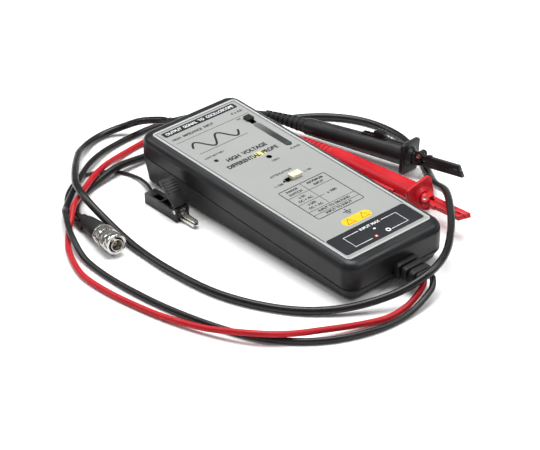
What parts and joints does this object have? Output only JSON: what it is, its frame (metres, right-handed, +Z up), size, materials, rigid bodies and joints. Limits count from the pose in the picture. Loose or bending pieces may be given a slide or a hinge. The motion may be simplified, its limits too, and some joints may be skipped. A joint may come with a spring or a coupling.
{
  "type": "differential oscilloscope probe",
  "caption": "High-voltage differential oscilloscope probe: a wedge-shaped black box with a printed panel, two clip-on test probes, a coaxial lead with a BNC plug and a ground clip.",
  "frame": {"origin": "middle of the box footprint, on the surface that it rests on", "axes": "+X along the box towards the end where the two test leads go in, +Y towards the side where the clip-on probes lie, +Z up"},
  "size_m": [0.2973, 0.2715, 0.0383],
  "materials": {
    "case_plastic": "fine matt texture, near black",
    "label_film": "satin silver printed panel with dark legends",
    "screw_steel": "zinc plated",
    "black_rubber": "matt black moulded rubber",
    "cell_wrap": "shrink wrap over the cells",
    "plated_tin": "tin plated sheet",
    "board_green": "green solder mask",
    "resistor_blue": "blue lacquer",
    "chip_black": "moulded epoxy",
    "knob_black": "moulded black",
    "knob_cream": "moulded cream",
    "led_green": "unlit green lens",
    "led_red": "unlit red lens",
    "brass": "gold plated or bare brass",
    "coax_jacket": "satin black vinyl jacket",
    "black_lead_jacket": "satin black silicone jacket",
    "red_lead_jacket": "satin red silicone jacket",
    "nickel": "nickel plated",
    "insulator_white": "white insulator",
    "clip_plastic": "black moulded cover",
    "tinned_steel": "tinned sheet steel",
    "spring_steel": "bright drawn",
    "red_plastic": "smooth red moulding",
    "black_plastic": "smooth black moulding",
    "red_rubber": "moulded red boot"
  },
  "bodies": {
    "case": {"top_shell": "case_plastic", "bottom_shell": "case_plastic", "front_label": "label_film", "battery_door": "case_plastic", "door_screw": "screw_steel", "case_screws": "screw_steel", "rubber_feet": "black_rubber", "battery_cells": "cell_wrap", "battery_contacts": "plated_tin", "circuit_board": "board_green", "divider_resistors": "resistor_blue", "shield_can": "plated_tin", "amplifier_chips": "chip_black", "power_switch": "plated_tin", "range_switch": "plated_tin", "power_led": "led_green", "status_led": "led_red", "offset_trimmer": "resistor_blue", "input_gland": "black_rubber", "output_gland": "black_rubber", "coax_cord": "coax_jacket", "red_lead": "red_lead_jacket", "black_lead": "black_lead_jacket", "ground_wire": "black_lead_jacket", "bnc_boot": "black_rubber", "bnc_body": "nickel", "bnc_insulator": "insulator_white", "bnc_pin": "brass", "clip_body": "clip_plastic", "clip_jaw": "tinned_steel", "clip_pin": "spring_steel", "clip_spring": "spring_steel", "red_tail_boot": "red_rubber", "red_barrel": "red_plastic", "red_guard": "red_plastic", "red_nose": "red_plastic", "red_jaw_pin": "spring_steel", "red_spring": "spring_steel", "black_tail_boot": "black_rubber", "black_barrel": "black_plastic", "black_guard": "black_plastic", "black_nose": "black_plastic", "black_jaw_pin": "spring_steel", "black_spring": "spring_steel"},
    "power_knob": {"power_knob": "knob_black"},
    "range_knob": {"range_knob": "knob_cream"},
    "trimmer_rotor": {"trimmer_rotor": "brass"},
    "bnc_nut": {"bnc_nut": "nickel"},
    "clip_lever": {"clip_lever": "clip_plastic", "clip_lever_jaw": "tinned_steel"},
    "red_thumb_slider": {"red_thumb_slider": "red_plastic"},
    "red_jaw": {"red_jaw": "red_plastic"},
    "black_thumb_slider": {"black_thumb_slider": "black_plastic"},
    "black_jaw": {"black_jaw": "black_plastic"}
  },
  "joints": [
    {"name": "power_slide", "type": "slide", "parent": "case", "child": "power_knob", "axis": [0.999, 0, -0.0445], "range_m": [0, 0.004]},
    {"name": "range_slide", "type": "slide", "parent": "case", "child": "range_knob", "axis": [0, 1, 0], "range_m": [-0.004, 0]},
    {"name": "trimmer_turn", "type": "hinge", "parent": "case", "child": "trimmer_rotor", "pos_m": [-0.02449, 0.0055, 0.02258], "axis": [0.0445, 0, 0.999], "range_deg": [-135, 135]},
    {"name": "bnc_turn", "type": "hinge", "parent": "case", "child": "bnc_nut", "pos_m": [-0.083, -0.102, 0.0044], "axis": [0.9794, -0.1727, 0.1045], "range_deg": [0, 85]},
    {"name": "clip_squeeze", "type": "hinge", "parent": "case", "child": "clip_lever", "pos_m": [-0.0465, -0.0508, 0.0072], "axis": [0, 1, 0], "range_deg": [-28, 0], "stiffness_Nm_per_rad": 0.05, "springref_deg": 11.46, "deforming": ["clip_spring"]},
    {"name": "red_thumb_slide", "type": "slide", "parent": "case", "child": "red_thumb_slider", "axis": [0.9975, -0.0174, 0.068], "range_m": [-0.008, 0], "stiffness_N_per_m": 150, "springref_m": 0.004, "deforming": ["red_spring"]},
    {"name": "red_jaw_open", "type": "hinge", "parent": "case", "child": "red_jaw", "pos_m": [0.06068, 0.06451, 0.01278], "axis": [-0.07, -0.1725, 0.9825], "range_deg": [-14, 0]},
    {"name": "black_thumb_slide", "type": "slide", "parent": "case", "child": "black_thumb_slider", "axis": [0.9697, 0.2418, 0.0349], "range_m": [-0.008, 0], "stiffness_N_per_m": 150, "springref_m": 0.004, "deforming": ["black_spring"]},
    {"name": "black_jaw_open", "type": "hinge", "parent": "case", "child": "black_jaw", "pos_m": [0.01952, 0.10178, 0.01664], "axis": [-0.2324, 0.957, -0.1735], "range_deg": [-14, 0]}
  ],
  "couplings": [
    {"joint": "red_jaw_open", "follows": "red_thumb_slide", "rad_per_m": 30.482},
    {"joint": "black_jaw_open", "follows": "black_thumb_slide", "rad_per_m": 30.482}
  ]
}
